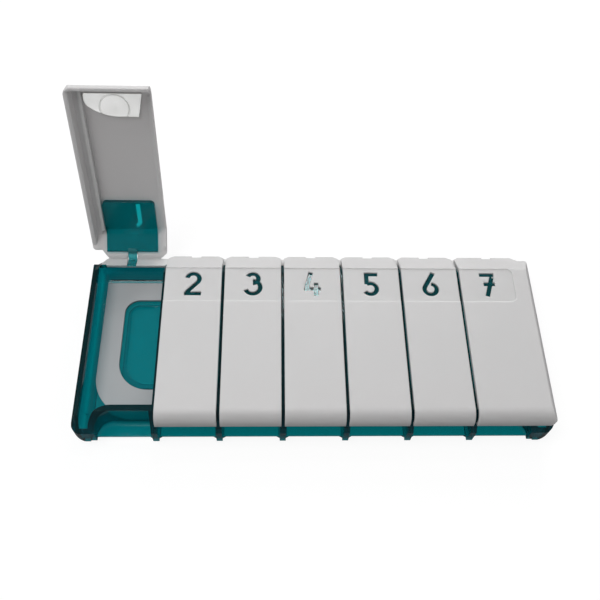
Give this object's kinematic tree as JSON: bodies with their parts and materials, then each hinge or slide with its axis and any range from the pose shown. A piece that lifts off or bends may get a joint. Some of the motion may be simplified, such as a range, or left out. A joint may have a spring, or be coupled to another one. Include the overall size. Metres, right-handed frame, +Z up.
{
  "type": "weekly pill organizer",
  "caption": "Flat weekly pill organizer: a clear teal tray of day bays with numbered white lids on living hinges.",
  "frame": {"origin": "under the middle of the tray, on the surface it stands on", "axes": "+Z up, +X to the right along the row of bays, front (the lids' lips) towards -Y"},
  "size_m": [0.1678, 0.0979, 0.0739],
  "materials": {
    "tray_teal": "clear teal tinted plastic, moulded, smooth",
    "lid_white": "satin moulded polypropylene",
    "strap_teal": "flexible teal plastic, satin",
    "pad_white": "polished white polypropylene",
    "liner_white": "matt white sheet"
  },
  "bodies": {
    "tray_body": {"tray": "tray_teal", "hinge_rail": "lid_white", "floor_liner_1": "liner_white", "floor_liner_2": "liner_white", "floor_liner_3": "liner_white", "floor_liner_4": "liner_white", "floor_liner_5": "liner_white", "floor_liner_6": "liner_white", "floor_liner_7": "liner_white", "hinge_strap_1": "strap_teal", "hinge_strap_2": "strap_teal", "hinge_strap_3": "strap_teal", "hinge_strap_4": "strap_teal", "hinge_strap_5": "strap_teal", "hinge_strap_6": "strap_teal", "hinge_strap_7": "strap_teal", "living_hinge_1": "lid_white", "living_hinge_2": "lid_white", "living_hinge_3": "lid_white", "living_hinge_4": "lid_white", "living_hinge_5": "lid_white", "living_hinge_6": "lid_white", "living_hinge_7": "lid_white"},
    "lid_body_1": {"lid_1": "lid_white", "thumb_pad_1": "pad_white", "number_plaque_1": "tray_teal"},
    "lid_body_2": {"lid_2": "lid_white", "thumb_pad_2": "pad_white", "number_plaque_2": "tray_teal"},
    "lid_body_3": {"lid_3": "lid_white", "thumb_pad_3": "pad_white", "number_plaque_3": "tray_teal"},
    "lid_body_4": {"lid_4": "lid_white", "thumb_pad_4": "pad_white", "number_plaque_4": "tray_teal"},
    "lid_body_5": {"lid_5": "lid_white", "thumb_pad_5": "pad_white", "number_plaque_5": "tray_teal"},
    "lid_body_6": {"lid_6": "lid_white", "thumb_pad_6": "pad_white", "number_plaque_6": "tray_teal"},
    "lid_body_7": {"lid_7": "lid_white", "thumb_pad_7": "pad_white", "number_plaque_7": "tray_teal"}
  },
  "joints": [
    {"name": "lid_hinge_1", "type": "hinge", "parent": "tray_body", "child": "lid_body_1", "pos_m": [-0.066, 0.0353, 0.0081], "axis": [-1, 0, 0], "range_deg": [-107.2, 52.8], "deforming": ["hinge_strap_1", "living_hinge_1"]},
    {"name": "lid_hinge_2", "type": "hinge", "parent": "tray_body", "child": "lid_body_2", "pos_m": [-0.044, 0.0353, 0.0081], "axis": [-1, 0, 0], "range_deg": [0, 160], "deforming": ["hinge_strap_2", "living_hinge_2"]},
    {"name": "lid_hinge_3", "type": "hinge", "parent": "tray_body", "child": "lid_body_3", "pos_m": [-0.022, 0.0353, 0.0081], "axis": [-1, 0, 0], "range_deg": [0, 160], "deforming": ["hinge_strap_3", "living_hinge_3"]},
    {"name": "lid_hinge_4", "type": "hinge", "parent": "tray_body", "child": "lid_body_4", "pos_m": [0, 0.0353, 0.0081], "axis": [-1, 0, 0], "range_deg": [0, 160], "deforming": ["hinge_strap_4", "living_hinge_4"]},
    {"name": "lid_hinge_5", "type": "hinge", "parent": "tray_body", "child": "lid_body_5", "pos_m": [0.022, 0.0353, 0.0081], "axis": [-1, 0, 0], "range_deg": [0, 160], "deforming": ["hinge_strap_5", "living_hinge_5"]},
    {"name": "lid_hinge_6", "type": "hinge", "parent": "tray_body", "child": "lid_body_6", "pos_m": [0.044, 0.0353, 0.0081], "axis": [-1, 0, 0], "range_deg": [0, 160], "deforming": ["hinge_strap_6", "living_hinge_6"]},
    {"name": "lid_hinge_7", "type": "hinge", "parent": "tray_body", "child": "lid_body_7", "pos_m": [0.066, 0.0353, 0.0081], "axis": [-1, 0, 0], "range_deg": [0, 160], "deforming": ["hinge_strap_7", "living_hinge_7"]}
  ]
}
